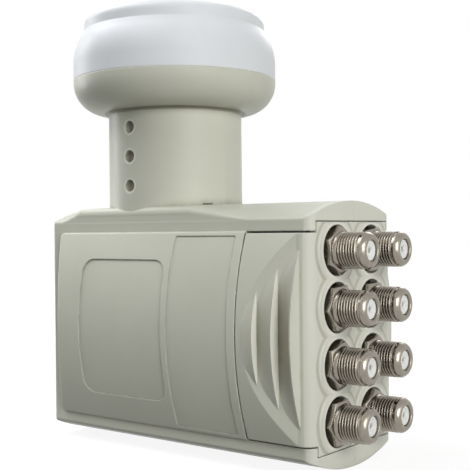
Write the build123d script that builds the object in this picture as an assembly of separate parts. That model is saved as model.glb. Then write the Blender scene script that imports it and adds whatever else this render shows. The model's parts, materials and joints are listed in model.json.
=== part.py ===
from build123d import *
import os
from math import sqrt

# Satellite LNB with eight outputs. Millimetres. The origin is on the neck's axis at the middle of the
# neck, +Z runs up the neck to the feed cap, +X points out of the outputs.

# Neck, bowl and their walls
NECK_RADIUS = 20.0
NECK_LENGTH = 27.8
NECK_WALL = 2.6
BOWL_RADIUS = 30.4
BOWL_FLAT = 0.9
BOWL_RIM = 0.7
SHELL_WALL = 2.0
NECK_FILLET = 0.6

# Set screw dimples and the drain slot of the neck
DIMPLE_RADIUS = 1.75
DIMPLE_DEPTH = 1.5
DIMPLE_CHAMFER = 0.5
DIMPLE_PITCH = 8.43
DIMPLE_COUNT = 3
DIMPLE_LIFT = 0.1
DRAIN_WIDTH = 3.2
DRAIN_HEIGHT = 0.6
DRAIN_DEPTH = 1.0
DRAIN_TURN = 68.4
DRAIN_DROP = 0.35

# Feed cap
BAND_HEIGHT = 5.0
CAP_SHOULDER_RUN = 2.4
CAP_SHOULDER_RISE = 8.0
TIER_STEP = 0.9
TIER_FLARE = 1.6
TIER_HEIGHT = 5.9
TIER_ROUND = 2.5
CAP_CROWN = 1.0
CAP_WALL = 1.6
SPIGOT_LENGTH = 2.0
SPIGOT_WALL = 1.8

# Body: a box with an arched roof and floor
BODY_BACK = -32.8
BODY_LENGTH = 94.8
BODY_WIDTH = 40.4
BODY_EDGE_HEIGHT = 60.9
ROOF_RISE = 4.4
EDGE_ROUND = 1.2
BACK_ROUND = 0.8
FRONT_ROUND = 3.0
SKIRT_WALL = 2.4
CEILING_DROP = 0.9

# Saddle that raises the roof's shoulders under the neck: half widths and drops below the roof's crown
SADDLE_BACK = -21.0
SADDLE_FRONT = 22.0
SADDLE_BACK_FADE = 9.5
SADDLE_FRONT_FADE = 24.0
SADDLE_TOP_HALF = 19.1
SADDLE_CORNER_HALF = 19.85
SADDLE_DROPS = (0.0, 0.8, 1.5, 3.2)
SADDLE_SINK = 0.6

# Bulged side panel with a shallow label recess and a grip recess
PANEL_MARGIN = 3.4
PANEL_BACK_GAP = 4.3
PANEL_LENGTH = 70.7
PANEL_PROUD = 0.7
PANEL_BULGE = 5.2
PANEL_ROUND = 0.6
PANEL_SLOPE = 4.0
PANEL_CORNER = 1.4
LABEL_LENGTH = 32.2
LABEL_HEIGHT = 38.8
LABEL_BACK_GAP = 13.0
LABEL_ROUND = 4.0
LABEL_DEPTH = 0.35
GRIP_LENGTH = 21.0
GRIP_HEIGHT = 51.8
GRIP_BACK_GAP = 47.1
GRIP_ROUND = 0.6
GRIP_DEPTH = 0.25

# Outputs
ROW_COUNT = 4
ROW_MARGIN = 8.505
COLUMN_MARGIN = 11.62
THREAD_RADIUS = 4.7
CONNECTOR_PROUD = 10.7
HEX_CLEARANCE = 0.25
HEX_LENGTH = 6.2
HEX_PROUD = 2.0
HEX_CHAMFER_SLOPE = 0.55
HEX_TURNS = (34, 8, 5, 2, 20, 12, 4, 33)
END_CHAMFER_LENGTH = 1.1
END_CHAMFER_DROP = 0.8
TAIL_RADIUS = 4.5
INSULATOR_RADIUS = 2.6
INSULATOR_RECESS = 0.6
CONTACT_RADIUS = 0.7
CONTACT_RECESS = 2.0
CONTACT_TAIL = 5.0
SEAL_RADIUS = 6.0
SEAL_THICKNESS = 0.5

# Sliding weather cover
COVER_TRAVEL = 20.0
COVER_GAP = 0.25
SEAM_GAP = 0.5
COVER_WALL = 2.0
PLATE_WALL = 2.0
SLEEVE_WALL = 0.9
TONGUE_WALL = 1.5
TONGUE_BACK = 16.0
SLEEVE_BACK = 22.0
LIP_LENGTH = 1.4
LIP_HEIGHT = 1.5
LIP_REACH = 40.0
COVER_HOLE_SHARE = 0.902
BOSS_RADIUS = 9.0
BOSS_HEIGHT = 0.5
BOSS_DRAFT = 0.6
CORNER_LENGTH = 3.6
CORNER_DEPTH = 3.6
RIDGE_START = 1.4
RIDGE_CRESTS = (5.7, 11.0, 16.4)
RIDGE_CHORDS = (25.5, 37.0, 47.0)
RIDGE_SAGS = (2.3, 3.3, 4.6)
RIDGE_ROOT_SHARE = 0.55
RIDGE_ROOT_SAG = 0.05
RIDGE_SUNK = 0.3
HOLLOW_MARGIN = 0.4

# Chassis, boards and lids
CHASSIS_CLEAR = 0.3
CHASSIS_WALL = 2.6
CHASSIS_WEB = 3.0
FRONT_WALL = 4.0
BOARD_WALL = 1.6
BOARD_LEDGE = 1.8
LID_WALL = 1.4
LID_REBATE = 1.3
GASKET_WALL = 0.4
FIT_GAP = 0.2
CLOSE_GAP = 0.05
SCREW_RADIUS = 1.2
SCREW_LENGTH = 8.0
SCREW_HEAD_RADIUS = 2.2
SCREW_HEAD_HEIGHT = 0.9
POST_RADIUS = 3.4
POST_INSET = 2.6
RIB_WALL = 1.6
RIB_HEIGHT = 18.0
RIB_SHARES = (0.1, 0.5)

# Waveguide, horn and probes
GUIDE_RADIUS = 8.75
GUIDE_WALL = 2.75
GUIDE_DEPTH = 22.0
HORN_WALL = 1.4
HORN_HEIGHT = 13.0
CHOKE_GAP = 3.2
CHOKE_WALL = 1.2
RIM_GAP = 4.2
RIM_WALL = 1.6
HORN_FLOOR = 1.6
SEAL_RING_RADIUS = 0.6
PROBE_RADIUS = 0.5
PROBE_SLEEVE_RADIUS = 1.4
PROBE_REACH = 3.5
VERTICAL_PROBE_DROP = 8.0
HORIZONTAL_PROBE_DROP = 15.0

# Overlap of joined forms and reach of cutting tools past a face
OVERLAP = 1.0
NEAR = 0.01

# Derived places
BODY_FRONT = BODY_BACK + BODY_LENGTH
HALF_WIDTH = BODY_WIDTH / 2
ROOF_Z = -NECK_LENGTH / 2
SHOULDER_Z = ROOF_Z - ROOF_RISE
MID_Z = SHOULDER_Z - BODY_EDGE_HEIGHT / 2
HALF_EDGE = BODY_EDGE_HEIGHT / 2
ROW_PITCH = (BODY_EDGE_HEIGHT - 2 * ROW_MARGIN) / (ROW_COUNT - 1)
COLUMN_OFFSET = HALF_WIDTH - COLUMN_MARGIN
COVER_HOLE_RADIUS = COVER_HOLE_SHARE * ROW_PITCH / 2
HEX_FLATS = sqrt(3) * (COVER_HOLE_RADIUS - HEX_CLEARANCE)
CAVITY_HALF = HALF_WIDTH - SKIRT_WALL
CAVITY_TOP = HALF_EDGE - CEILING_DROP
BOWL_Z = NECK_LENGTH / 2
BOWL_ROUND = BOWL_RADIUS - NECK_RADIUS - NECK_FILLET - BOWL_FLAT
JOINT_Z = BOWL_Z + BOWL_ROUND + BOWL_RIM
PANEL_BACK = BODY_BACK + PANEL_BACK_GAP
SEAM_X = PANEL_BACK + PANEL_LENGTH
PANEL_HALF = HALF_EDGE - PANEL_MARGIN
BULGE_CROWN = HALF_WIDTH + PANEL_PROUD + PANEL_BULGE
BULGE_RADIUS = (PANEL_HALF**2 + PANEL_BULGE**2) / (2 * PANEL_BULGE)
COVER_HALF = PANEL_HALF - SEAM_GAP
COVER_BACK = SEAM_X + SEAM_GAP
TONGUE_OUTER = CAVITY_HALF - COVER_GAP
TONGUE_INNER = TONGUE_OUTER - TONGUE_WALL
SLEEVE_TOP = CAVITY_TOP - COVER_GAP
CHASSIS_HALF = TONGUE_INNER - CHASSIS_CLEAR
CHASSIS_TOP = SLEEVE_TOP - SLEEVE_WALL - CHASSIS_CLEAR
CHASSIS_BACK = BODY_BACK + SHELL_WALL + CHASSIS_CLEAR
HEX_FRONT = BODY_FRONT + HEX_PROUD
CHASSIS_FRONT = HEX_FRONT - HEX_LENGTH
LID_OUTER = CHASSIS_HALF - CHASSIS_CLEAR / 2
LID_SEAT = LID_OUTER - LID_WALL - GASKET_WALL
BOARD_OUTER = COLUMN_OFFSET - CONTACT_RADIUS
BOARD_SEAT = BOARD_OUTER - BOARD_WALL
GUIDE_OUTER = GUIDE_RADIUS + GUIDE_WALL
CHAMBER_BACK = CHASSIS_BACK + CHASSIS_WALL
CHAMBER_FRONT = CHASSIS_FRONT - FRONT_WALL
CHAMBER_HALF = CHASSIS_TOP - CHASSIS_WALL
HORN_FLOOR_Z = BOWL_Z + SHELL_WALL + CHASSIS_CLEAR
HORN_TOP_Z = HORN_FLOOR_Z + HORN_HEIGHT
SEAL_RING_Z = JOINT_Z - SPIGOT_LENGTH / 2
SPIGOT_OUTER = BOWL_RADIUS - SHELL_WALL - FIT_GAP
SPIGOT_INNER = SPIGOT_OUTER - SPIGOT_WALL
SEAL_RING_CENTRE = SPIGOT_INNER - CLOSE_GAP - SEAL_RING_RADIUS
RIM_RADIUS = SEAL_RING_CENTRE - SEAL_RING_RADIUS / 4
CHOKE_RADIUS = RIM_RADIUS - RIM_WALL - RIM_GAP - CHOKE_WALL
HORN_MOUTH_RADIUS = CHOKE_RADIUS - CHOKE_GAP - HORN_WALL
CONNECTOR_END = BODY_FRONT + CONNECTOR_PROUD
OUTPUTS = [
    (column * COLUMN_OFFSET, MID_Z + ((ROW_COUNT - 1) / 2 - row) * ROW_PITCH)
    for row in range(ROW_COUNT)
    for column in (-1, 1)
]


def block(x0, x1, y0, y1, z0, z1):
    return Pos((x0 + x1) / 2, (y0 + y1) / 2, (z0 + z1) / 2) * Box(x1 - x0, y1 - y0, z1 - z0)


def x_rod(radius, x0, x1, y=0.0, z=0.0):
    return Pos((x0 + x1) / 2, y, z) * Rot(0, 90, 0) * Cylinder(radius, x1 - x0)


def y_rod(radius, y0, y1, x=0.0, z=0.0):
    return Pos(x, (y0 + y1) / 2, z) * Rot(90, 0, 0) * Cylinder(radius, y1 - y0)


def along_x(face, x0, x1):
    """A face drawn in Y and Z, extruded from x0 to x1."""
    return extrude(Pos(x0, 0, 0) * (Plane.YZ * face), amount=x1 - x0, dir=(1, 0, 0))


def turned(face):
    """A face drawn in radius and Z, revolved round the neck's axis."""
    return revolve(Plane.XZ * face, Axis.Z)


def both_sides(shape):
    return shape + mirror(shape, Plane.XZ)


def bulge_y(height, offset=0.0):
    """Y of the bulged side wall on the -Y side, at a height from the body's middle."""
    return BULGE_RADIUS - BULGE_CROWN - sqrt((BULGE_RADIUS + offset) ** 2 - height**2)


def bulge_face(half_height, root, offset=0.0):
    """Section of the bulged wall between its arc and a flat root plane."""
    edge = bulge_y(half_height, offset)
    top, bottom = MID_Z + half_height, MID_Z - half_height
    arc = ThreePointArc((edge, top), (bulge_y(0, offset), MID_Z), (edge, bottom))
    sides = Polyline((edge, bottom), (-root, bottom), (-root, top), (edge, top))
    return make_face(arc.edges() + sides.edges())


def body_section():
    top, bottom = SHOULDER_Z, SHOULDER_Z - BODY_EDGE_HEIGHT
    roof = ThreePointArc((-HALF_WIDTH, top), (0, top + ROOF_RISE), (HALF_WIDTH, top))
    floor = ThreePointArc((HALF_WIDTH, bottom), (0, bottom - ROOF_RISE), (-HALF_WIDTH, bottom))
    right = Line((HALF_WIDTH, top), (HALF_WIDTH, bottom))
    left = Line((-HALF_WIDTH, bottom), (-HALF_WIDTH, top))
    face = make_face(roof.edges() + right.edges() + floor.edges() + left.edges())
    return fillet(face.vertices(), EDGE_ROUND)


def body_block():
    body = along_x(body_section(), BODY_BACK, BODY_FRONT)
    back_face = body.faces().sort_by(Axis.X)[0]
    body = fillet(back_face.edges(), BACK_ROUND)
    length = BODY_LENGTH + 2 * FRONT_ROUND
    plan = RectangleRounded(length, BODY_WIDTH + 2 * NEAR, FRONT_ROUND)
    return body & extrude(Pos(BODY_FRONT - length / 2, 0, MID_Z) * plan, amount=BODY_EDGE_HEIGHT, both=True)


def saddle_section(x, drops):
    """Low arch with rounded shoulders, given by its drops below the roof's crown."""
    crown, top, corner, end = [ROOF_Z - drop for drop in drops]
    side, base = HALF_WIDTH - CLOSE_GAP, SHOULDER_Z - CEILING_DROP - OVERLAP
    arch = ThreePointArc((-SADDLE_TOP_HALF, top), (0, crown), (SADDLE_TOP_HALF, top))
    right = ThreePointArc((SADDLE_TOP_HALF, top), (SADDLE_CORNER_HALF, corner), (side, end))
    walls = Polyline((side, end), (side, base), (-side, base), (-side, end))
    left = ThreePointArc((-side, end), (-SADDLE_CORNER_HALF, corner), (-SADDLE_TOP_HALF, top))
    face = make_face(arch.edges() + right.edges() + walls.edges() + left.edges())
    return Pos(x, 0, 0) * (Plane.YZ * face)


def saddle():
    """Raised shoulders under the neck that fade into the roof behind and in front."""
    halves = (0, SADDLE_TOP_HALF, SADDLE_CORNER_HALF, HALF_WIDTH)
    sunk = [ROOF_RISE * (half / HALF_WIDTH) ** 2 + SADDLE_SINK for half in halves]
    back, front = saddle_section(SADDLE_BACK, SADDLE_DROPS), saddle_section(SADDLE_FRONT, SADDLE_DROPS)
    middle = extrude(back, amount=SADDLE_FRONT - SADDLE_BACK, dir=(1, 0, 0))
    behind = loft([saddle_section(SADDLE_BACK - SADDLE_BACK_FADE, sunk), back], ruled=True)
    ahead = loft([front, saddle_section(SADDLE_FRONT + SADDLE_FRONT_FADE, sunk)], ruled=True)
    return behind + middle + ahead


def panel_recess(back_gap, length, height, round_radius, depth):
    """Rounded recess that keeps the panel's curve at its own depth."""
    x0 = PANEL_BACK + back_gap
    outline = Pos(x0 + length / 2, MID_Z) * RectangleRounded(length, height, round_radius)
    tool = extrude(Plane.XZ * outline, amount=2 * BULGE_CROWN, dir=(0, -1, 0))
    floor = along_x(bulge_face(PANEL_HALF, 0, -depth), x0 - OVERLAP, x0 + length + OVERLAP)
    return tool - floor


def panel():
    root, crown = OVERLAP - HALF_WIDTH, -BULGE_CROWN - OVERLAP
    lean = PANEL_SLOPE / PANEL_BULGE
    start = PANEL_BACK - (PANEL_PROUD + OVERLAP) * lean
    plate = along_x(bulge_face(PANEL_HALF, -root), start, SEAM_X)
    wedge = Polyline((start, root), (start + (root - crown) * lean, crown), (start, crown), (start, root))
    plate -= extrude(Pos(0, 0, MID_Z) * make_face(wedge.edges()), amount=BODY_EDGE_HEIGHT, both=True)
    back = plate.edges().filter_by(lambda e: e.center().X < PANEL_BACK)
    plate = fillet(back.filter_by(lambda e: abs(e.center().Z - MID_Z) > PANEL_HALF - NEAR), PANEL_CORNER)
    rim = plate.edges().filter_by(lambda e: e.center().Y < -HALF_WIDTH)
    seam = rim.filter_by(lambda e: abs(e.center().X - SEAM_X) < NEAR)
    plate = fillet(rim - seam, PANEL_ROUND)
    plate -= panel_recess(LABEL_BACK_GAP, LABEL_LENGTH, LABEL_HEIGHT, LABEL_ROUND, LABEL_DEPTH)
    return plate - panel_recess(GRIP_BACK_GAP, GRIP_LENGTH, GRIP_HEIGHT, GRIP_ROUND, GRIP_DEPTH)


def neck_and_bowl():
    foot = SHOULDER_Z - CEILING_DROP - OVERLAP
    inner = BOWL_RADIUS - BOWL_ROUND
    outline = Polyline((0, foot), (NECK_RADIUS, foot), (NECK_RADIUS, BOWL_Z - NECK_FILLET)).edges()
    outline += TangentArc(
        (NECK_RADIUS, BOWL_Z - NECK_FILLET), (NECK_RADIUS + NECK_FILLET, BOWL_Z), tangent=(0, 1)
    ).edges()
    outline += Line((NECK_RADIUS + NECK_FILLET, BOWL_Z), (inner, BOWL_Z)).edges()
    outline += TangentArc((inner, BOWL_Z), (BOWL_RADIUS, BOWL_Z + BOWL_ROUND), tangent=(1, 0)).edges()
    outline += Polyline(
        (BOWL_RADIUS, BOWL_Z + BOWL_ROUND), (BOWL_RADIUS, JOINT_Z), (0, JOINT_Z), (0, foot)
    ).edges()
    return turned(make_face(outline))


def neck_and_bowl_bore():
    bore, foot = NECK_RADIUS - NECK_WALL, SHOULDER_Z - CEILING_DROP - OVERLAP
    inner, floor = BOWL_RADIUS - BOWL_ROUND, BOWL_Z + SHELL_WALL
    mouth, top = BOWL_RADIUS - SHELL_WALL, JOINT_Z + OVERLAP
    outline = Polyline((0, top), (0, foot), (bore, foot), (bore, floor), (inner, floor)).edges()
    outline += TangentArc((inner, floor), (mouth, BOWL_Z + BOWL_ROUND), tangent=(1, 0)).edges()
    outline += Polyline((mouth, BOWL_Z + BOWL_ROUND), (mouth, top), (0, top)).edges()
    return turned(make_face(outline))


def dimples():
    """Blind set screw dimples down the -Y side of the neck."""
    drill = y_rod(DIMPLE_RADIUS, -NECK_RADIUS - OVERLAP, -NECK_RADIUS + DIMPLE_DEPTH)
    mouth = DIMPLE_RADIUS + DIMPLE_CHAMFER
    cone = Pos(0, -NECK_RADIUS - DIMPLE_CHAMFER / 2, 0) * Rot(90, 0, 0)
    drill += cone * Cone(DIMPLE_RADIUS - DIMPLE_CHAMFER, mouth + DIMPLE_CHAMFER, 3 * DIMPLE_CHAMFER)
    steps = [DIMPLE_LIFT + (i - (DIMPLE_COUNT - 1) / 2) * DIMPLE_PITCH for i in range(DIMPLE_COUNT)]
    return [Pos(0, 0, z) * drill for z in steps]


def drain_slot():
    reach, depth = -NECK_RADIUS - OVERLAP, -NECK_RADIUS + DRAIN_DEPTH
    slot = block(-DRAIN_WIDTH / 2, DRAIN_WIDTH / 2, reach, depth, 0, DRAIN_HEIGHT)
    return Rot(0, 0, DRAIN_TURN) * Pos(0, 0, ROOF_Z - DRAIN_DROP) * slot


def cavity():
    """Room for the chassis and the cover's sleeve, open in front."""
    front = BODY_FRONT + OVERLAP
    low, high = MID_Z - CAVITY_TOP, MID_Z + CAVITY_TOP
    room = block(BODY_BACK + SHELL_WALL, front, -CAVITY_HALF, CAVITY_HALF, low, high)
    pocket_front = TONGUE_BACK + LIP_LENGTH + COVER_TRAVEL + FIT_GAP
    pocket_face = bulge_face(PANEL_HALF - SHELL_WALL, CAVITY_HALF - OVERLAP, -SHELL_WALL)
    pocket = along_x(pocket_face, PANEL_BACK + PANEL_SLOPE + SHELL_WALL, pocket_front)
    low, high = MID_Z - PANEL_HALF, MID_Z + PANEL_HALF
    window = block(SEAM_X, front, -BULGE_CROWN, OVERLAP - CAVITY_HALF, low, high)
    return room + both_sides(pocket + window)


def chassis_ribs():
    """Ribs inside the panels that stop just short of the lids."""
    reach = BULGE_CROWN - SHELL_WALL / 2
    low, high = MID_Z - RIB_HEIGHT / 2, MID_Z + RIB_HEIGHT / 2
    places = [PANEL_BACK + PANEL_LENGTH * share for share in RIB_SHARES]
    ribs = [block(x, x + RIB_WALL, -reach, -LID_OUTER - FIT_GAP, low, high) for x in places]
    return both_sides(ribs[0] + ribs[1])


def roof_pads():
    """Pads on the roof and floor, behind the sleeve, that centre the chassis."""
    x0, x1 = CHASSIS_BACK, -NECK_RADIUS
    pads = []
    for side in (-1, 1):
        z0, z1 = sorted((MID_Z + side * (CHASSIS_TOP + FIT_GAP), MID_Z + side * (CAVITY_TOP + OVERLAP)))
        pads.append(block(x0, x1, -CHASSIS_HALF / 2, CHASSIS_HALF / 2, z0, z1))
    return pads[0] + pads[1]


def housing():
    shell = body_block() + saddle() + both_sides(panel()) + neck_and_bowl()
    shell -= cavity()
    shell -= neck_and_bowl_bore()
    shell -= dimples()
    shell -= drain_slot()
    return shell + chassis_ribs() + roof_pads()


def half_shell(shell, side):
    reach = 2 * BODY_LENGTH
    y0, y1 = sorted((0, side * reach))
    return shell & block(-reach, reach, y0, y1, -reach, reach)


def feed_cap():
    """Stepped cap with a spigot that centres it in the bowl."""
    band_top = JOINT_Z + BAND_HEIGHT
    step_z = band_top + CAP_SHOULDER_RISE
    step_radius = BOWL_RADIUS - CAP_SHOULDER_RUN
    tier = step_radius - TIER_STEP
    tier_top = step_z + TIER_HEIGHT
    inside, tier_inside = BOWL_RADIUS - CAP_WALL, tier - CAP_WALL
    ceiling, sill = tier_top - CAP_WALL, JOINT_Z + CAP_WALL
    foot = JOINT_Z - SPIGOT_LENGTH
    outline = Polyline(
        (inside, band_top),
        (inside, sill),
        (SPIGOT_INNER, sill),
        (SPIGOT_INNER, foot),
        (SPIGOT_OUTER, foot),
        (SPIGOT_OUTER, JOINT_Z),
        (BOWL_RADIUS, JOINT_Z),
        (BOWL_RADIUS, band_top),
    ).edges()
    outline += TangentArc((BOWL_RADIUS, band_top), (step_radius, step_z), tangent=(0, 1)).edges()
    outline += Polyline((step_radius, step_z), (tier, step_z + TIER_FLARE), (tier, tier_top)).edges()
    outline += TangentArc((0, tier_top + CAP_CROWN), (tier, tier_top), tangent=(1, 0)).edges()
    outline += Polyline(
        (0, tier_top + CAP_CROWN), (0, ceiling), (tier_inside, ceiling), (tier_inside, step_z)
    ).edges()
    outline += TangentArc((inside, band_top), (tier_inside, step_z), tangent=(0, 1)).edges()
    face = make_face(outline)
    corner = face.vertices().filter_by(lambda v: abs(v.X - tier) < NEAR and abs(v.Y - tier_top) < NEAR)
    return turned(fillet(corner, TIER_ROUND))


def cap_seal():
    ring = Pos(SEAL_RING_CENTRE, SEAL_RING_Z) * Circle(SEAL_RING_RADIUS)
    return turned(ring)


def cover_plan():
    """Plan of one side of the cover: a flat that runs from the seam to the rounded front corner."""
    back, start = COVER_BACK, COVER_BACK + RIDGE_START
    corner = (BODY_FRONT - CORNER_LENGTH, -TONGUE_OUTER - CORNER_DEPTH)
    nose = (BODY_FRONT, -TONGUE_OUTER)
    outline = Polyline((back, -TONGUE_INNER), (back, -BULGE_CROWN), (start, -BULGE_CROWN), corner).edges()
    outline += TangentArc(nose, corner, tangent=(0, -1)).edges()
    outline += Polyline(nose, (BODY_FRONT, -TONGUE_INNER), (back, -TONGUE_INNER)).edges()
    return make_face(outline)


def flat_y(x):
    """Y of the flat that the finger ridges stand on, on the -Y side."""
    x0, x1 = COVER_BACK + RIDGE_START, BODY_FRONT - CORNER_LENGTH
    y0, y1 = -BULGE_CROWN, -TONGUE_OUTER - CORNER_DEPTH
    return y0 + (y1 - y0) * (x - x0) / (x1 - x0)


def ridge_section(x, chord, sag, lift):
    """Arc segment over a chord, sunk by lift below the flat at this x."""
    y = flat_y(x) + lift
    arc = ThreePointArc(
        (y, MID_Z + chord / 2), (y - lift - sag, MID_Z), (y, MID_Z - chord / 2)
    )
    base = Line((y, MID_Z - chord / 2), (y, MID_Z + chord / 2))
    return Pos(x, 0, 0) * (Plane.YZ * make_face(arc.edges() + base.edges()))


def finger_ridges():
    """Ramps that rise to a crescent crest and drop steeply on the front side."""
    ridges = []
    previous_x = COVER_BACK + RIDGE_START
    previous_chord = RIDGE_CHORDS[0] * RIDGE_ROOT_SHARE
    for crest, chord, sag in zip(RIDGE_CRESTS, RIDGE_CHORDS, RIDGE_SAGS):
        x = COVER_BACK + crest
        root = ridge_section(previous_x, previous_chord, RIDGE_ROOT_SAG, RIDGE_SUNK)
        top = ridge_section(x, chord, sag, RIDGE_SUNK)
        ridges.append(loft([root, top], ruled=True))
        previous_x, previous_chord = x, chord
    return ridges


def cover_side():
    """One bulged side wall of the cover with its ridges, hollow behind."""
    full = along_x(bulge_face(COVER_HALF, TONGUE_INNER), COVER_BACK, BODY_FRONT)
    plan = extrude(Pos(0, 0, MID_Z - COVER_HALF) * cover_plan(), amount=2 * COVER_HALF)
    side = full & plan
    for ridge in finger_ridges():
        side += ridge
    x0, x1 = COVER_BACK + COVER_WALL, BODY_FRONT - CORNER_LENGTH
    depth = COVER_WALL + HOLLOW_MARGIN
    inner = OVERLAP - TONGUE_INNER
    room = make_face(
        Polyline(
            (x0, inner),
            (x1, inner),
            (x1, flat_y(x1) + depth),
            (x0, flat_y(x0) + depth),
            (x0, inner),
        ).edges()
    )
    half = COVER_HALF - COVER_WALL
    hollow = extrude(Pos(0, 0, MID_Z - half) * room, amount=2 * half)
    hollow &= along_x(bulge_face(half, -inner, -COVER_WALL), x0, x1)
    return side - hollow


def cover_tongue():
    """Flat tongue that keeps the gap behind the cover shut, with a stop lip at its end."""
    low, high = MID_Z - COVER_HALF, MID_Z + COVER_HALF
    tongue = block(TONGUE_BACK, COVER_BACK + COVER_WALL, -TONGUE_OUTER, -TONGUE_INNER, low, high)
    lip_end, lip_outer = TONGUE_BACK + LIP_LENGTH, -TONGUE_OUTER - LIP_HEIGHT
    low, high = MID_Z - LIP_REACH / 2, MID_Z + LIP_REACH / 2
    return tongue + block(TONGUE_BACK, lip_end, lip_outer, -TONGUE_INNER, low, high)


def front_plate():
    """Drilled front plate with merging round bosses, and the sleeve's top and bottom walls."""
    low, high = MID_Z - SLEEVE_TOP, MID_Z + SLEEVE_TOP
    back = BODY_FRONT - PLATE_WALL
    plate = block(back, BODY_FRONT, -TONGUE_OUTER, TONGUE_OUTER, low, high)
    plate += block(SLEEVE_BACK, BODY_FRONT, -TONGUE_OUTER, TONGUE_OUTER, high - SLEEVE_WALL, high)
    plate += block(SLEEVE_BACK, BODY_FRONT, -TONGUE_OUTER, TONGUE_OUTER, low, low + SLEEVE_WALL)
    top = BODY_FRONT + BOSS_HEIGHT
    cone = Cone(BOSS_RADIUS + BOSS_DRAFT, BOSS_RADIUS - BOSS_DRAFT, 2 * BOSS_HEIGHT)
    cone = Pos(BODY_FRONT, 0, 0) * Rot(0, 90, 0) * cone
    bosses = [Pos(0, y, z) * cone for y, z in OUTPUTS]
    outline = block(back, top, -TONGUE_OUTER, TONGUE_OUTER, low + COVER_GAP, high - COVER_GAP)
    for boss in bosses:
        plate += boss & outline
    return plate


def weather_cover():
    cover = front_plate() + both_sides(cover_side() + cover_tongue())
    for y, z in OUTPUTS:
        cover -= x_rod(COVER_HOLE_RADIUS, BODY_FRONT - CORNER_LENGTH, BODY_FRONT + OVERLAP, y, z)
    return cover


def horn_and_guide():
    """Waveguide tube, horn, choke ring and rim as one turned form."""
    low = MID_Z + CHASSIS_TOP - GUIDE_DEPTH
    floor, top = HORN_FLOOR_Z, HORN_TOP_Z
    inner = BOWL_RADIUS - BOWL_ROUND - OVERLAP
    drop = BOWL_ROUND - SHELL_WALL - CHASSIS_CLEAR
    reach = RIM_RADIUS - (BOWL_RADIUS - BOWL_ROUND)
    rim_z = BOWL_Z + BOWL_ROUND - sqrt(drop**2 - reach**2) + CHASSIS_CLEAR
    face = make_face(
        Polyline(
            (0, low),
            (GUIDE_OUTER, low),
            (GUIDE_OUTER, floor),
            (inner, floor),
            (RIM_RADIUS, rim_z),
            (RIM_RADIUS, top),
            (RIM_RADIUS - RIM_WALL, top),
            (RIM_RADIUS - RIM_WALL, rim_z + HORN_FLOOR),
            (CHOKE_RADIUS + CHOKE_WALL, rim_z + HORN_FLOOR),
            (CHOKE_RADIUS + CHOKE_WALL, top),
            (CHOKE_RADIUS, top),
            (CHOKE_RADIUS, rim_z + HORN_FLOOR),
            (GUIDE_OUTER + HORN_WALL, rim_z + HORN_FLOOR),
            (HORN_MOUTH_RADIUS + HORN_WALL, top),
            (0, top),
            (0, low),
        ).edges()
    )
    groove_depth = RIM_RADIUS - SEAL_RING_CENTRE + SEAL_RING_RADIUS + CLOSE_GAP
    groove_height = 2 * (SEAL_RING_RADIUS + CLOSE_GAP)
    groove = Pos(RIM_RADIUS, SEAL_RING_Z) * Rectangle(2 * groove_depth, groove_height)
    return turned(face - groove)


def guide_bore():
    low = MID_Z + CHASSIS_TOP - GUIDE_DEPTH + GUIDE_WALL
    return turned(
        make_face(
            Polyline(
                (0, low),
                (GUIDE_RADIUS, low),
                (GUIDE_RADIUS, HORN_FLOOR_Z),
                (HORN_MOUTH_RADIUS, HORN_TOP_Z + NEAR),
                (0, HORN_TOP_Z + NEAR),
                (0, low),
            ).edges()
        )
    )


def screw_places():
    """Lid screw centres in X and Z, along the chamber's top and bottom."""
    front = CHAMBER_FRONT - CONTACT_TAIL - POST_RADIUS - FIT_GAP
    columns = (CHAMBER_BACK + POST_INSET, (GUIDE_OUTER + front) / 2, front)
    rows = (MID_Z - CHAMBER_HALF + POST_INSET, MID_Z + CHAMBER_HALF - POST_INSET)
    return [(x, z) for x in columns for z in rows]


def chamber(side, outer, inner, x_grow, z_grow):
    """Block of one side's chamber between two distances from the web."""
    y0, y1 = sorted((side * inner, side * outer))
    return block(
        CHAMBER_BACK - x_grow,
        CHAMBER_FRONT + x_grow,
        y0,
        y1,
        MID_Z - CHAMBER_HALF - z_grow,
        MID_Z + CHAMBER_HALF + z_grow,
    )


def chassis():
    low, high = MID_Z - CHASSIS_TOP, MID_Z + CHASSIS_TOP
    open_side = CHASSIS_HALF + OVERLAP
    body = block(CHASSIS_BACK, CHASSIS_FRONT, -CHASSIS_HALF, CHASSIS_HALF, low, high)
    for side in (-1, 1):
        body -= chamber(side, open_side, BOARD_SEAT, 0, 0)
        body -= chamber(side, BOARD_SEAT + OVERLAP, CHASSIS_WEB / 2, -BOARD_LEDGE, -BOARD_LEDGE)
        body -= chamber(side, open_side, LID_SEAT, LID_REBATE, LID_REBATE)
        for x, z in screw_places():
            y0, y1 = sorted((0, side * LID_SEAT))
            body += y_rod(POST_RADIUS, y0, y1, x, z)
            y0, y1 = sorted((side * (LID_SEAT - SCREW_LENGTH), side * open_side))
            body -= y_rod(SCREW_RADIUS + CLOSE_GAP, y0, y1, x, z)
    body += horn_and_guide()
    body -= guide_bore()
    outside = CHASSIS_FRONT + OVERLAP
    for y, z in OUTPUTS:
        body -= x_rod(TAIL_RADIUS + CLOSE_GAP, CHAMBER_FRONT - NEAR, outside, y, z)
        body -= x_rod(SEAL_RADIUS + CLOSE_GAP, CHASSIS_FRONT - SEAL_THICKNESS, outside, y, z)
    vertical_z, horizontal_z = probe_heights()
    body -= y_rod(PROBE_SLEEVE_RADIUS + CLOSE_GAP, -CHASSIS_HALF, 0, 0, vertical_z)
    body -= x_rod(PROBE_SLEEVE_RADIUS + CLOSE_GAP, 0, GUIDE_OUTER + OVERLAP, 0, horizontal_z)
    window = 2 * PROBE_SLEEVE_RADIUS
    low, high = horizontal_z - window, horizontal_z + window
    return body - block(GUIDE_OUTER, probe_bend_x() + window, -BOARD_SEAT, window, low, high)


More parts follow.
